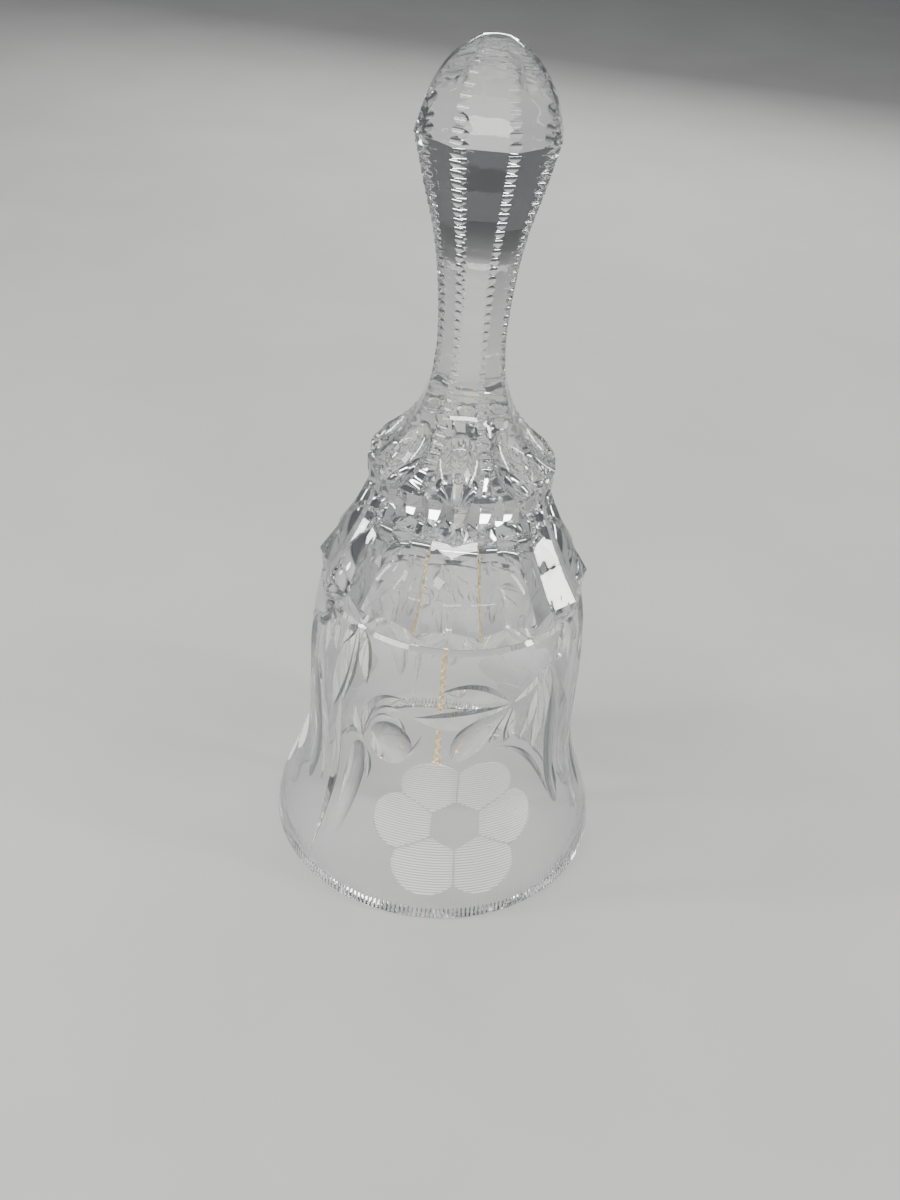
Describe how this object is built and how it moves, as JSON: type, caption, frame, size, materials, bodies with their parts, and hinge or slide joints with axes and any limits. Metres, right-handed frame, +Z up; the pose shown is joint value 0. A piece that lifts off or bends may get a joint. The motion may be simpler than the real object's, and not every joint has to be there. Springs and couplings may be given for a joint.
{
  "type": "hand bell",
  "caption": "Cut crystal hand bell with a flared skirt, fluted shoulder and faceted handle; a bead clapper hangs inside on a fine gold chain.",
  "frame": {"origin": "centre of the mouth, on the plane that the rim stands on", "axes": "+Z up the handle from the mouth; -Y towards the side with the flower a little to its right; +X to the right of that side"},
  "size_m": [0.085, 0.085, 0.2],
  "materials": {
    "crystal": "polished",
    "bead_crystal": "polished",
    "gold_chain": "polished",
    "gold_wire": "polished",
    "gold_cap": "satin",
    "cement": "matte"
  },
  "bodies": {
    "bell": {"glass_bell": "crystal", "socket_cement": "cement", "hanger_eye": "gold_wire"},
    "top_ring": {"top_ring": "gold_wire"},
    "chain_1": {"chain_link_01": "gold_chain", "chain_link_02": "gold_chain", "chain_link_03": "gold_chain", "chain_link_04": "gold_chain", "chain_link_05": "gold_chain", "chain_link_06": "gold_chain", "chain_link_07": "gold_chain", "chain_link_08": "gold_chain", "chain_link_09": "gold_chain"},
    "chain_2": {"chain_link_10": "gold_chain", "chain_link_11": "gold_chain", "chain_link_12": "gold_chain", "chain_link_13": "gold_chain", "chain_link_14": "gold_chain", "chain_link_15": "gold_chain", "chain_link_16": "gold_chain", "chain_link_17": "gold_chain", "chain_link_18": "gold_chain"},
    "chain_3": {"chain_link_19": "gold_chain", "chain_link_20": "gold_chain", "chain_link_21": "gold_chain", "chain_link_22": "gold_chain", "chain_link_23": "gold_chain", "chain_link_24": "gold_chain", "chain_link_25": "gold_chain", "chain_link_26": "gold_chain", "chain_link_27": "gold_chain"},
    "chain_4": {"chain_link_28": "gold_chain", "chain_link_29": "gold_chain", "chain_link_30": "gold_chain", "chain_link_31": "gold_chain", "chain_link_32": "gold_chain", "chain_link_33": "gold_chain", "chain_link_34": "gold_chain", "chain_link_35": "gold_chain", "chain_link_36": "gold_chain"},
    "chain_5": {"chain_link_37": "gold_chain", "chain_link_38": "gold_chain", "chain_link_39": "gold_chain", "chain_link_40": "gold_chain", "chain_link_41": "gold_chain", "chain_link_42": "gold_chain", "chain_link_43": "gold_chain", "chain_link_44": "gold_chain", "chain_link_45": "gold_chain"},
    "clapper_ring": {"clapper_ring": "gold_wire"},
    "clapper": {"clapper_pin": "gold_wire", "clapper_cap": "gold_cap", "clapper_bead": "bead_crystal"}
  },
  "joints": [
    {"name": "top_ring_swing", "type": "hinge", "parent": "bell", "child": "top_ring", "pos_m": [0, 0, 0.088], "axis": [0.7071, 0.7071, 0], "range_deg": [-21, 21]},
    {"name": "chain_1_swing", "type": "hinge", "parent": "top_ring", "child": "chain_1", "pos_m": [0, 0, 0.0857], "axis": [-0.7071, 0.7071, 0], "range_deg": [-21, 21]},
    {"name": "chain_2_bend", "type": "hinge", "parent": "chain_1", "child": "chain_2", "pos_m": [0, 0, 0.0722], "axis": [-0.7071, -0.7071, 0], "range_deg": [-26, 26]},
    {"name": "chain_3_bend", "type": "hinge", "parent": "chain_2", "child": "chain_3", "pos_m": [0, 0, 0.0587], "axis": [0.7071, -0.7071, 0], "range_deg": [-33, 33]},
    {"name": "chain_4_bend", "type": "hinge", "parent": "chain_3", "child": "chain_4", "pos_m": [0, 0, 0.0452], "axis": [0.7071, 0.7071, 0], "range_deg": [-45, 45]},
    {"name": "chain_5_bend", "type": "hinge", "parent": "chain_4", "child": "chain_5", "pos_m": [0, 0, 0.0317], "axis": [-0.7071, 0.7071, 0], "range_deg": [-60, 60]},
    {"name": "clapper_ring_swing", "type": "hinge", "parent": "chain_5", "child": "clapper_ring", "pos_m": [0, 0, 0.0182], "axis": [-0.7071, -0.7071, 0], "range_deg": [-50, 50]},
    {"name": "clapper_swing", "type": "hinge", "parent": "clapper_ring", "child": "clapper", "pos_m": [0, 0, 0.01585], "axis": [0.7071, -0.7071, 0], "range_deg": [-75, 75]}
  ]
}
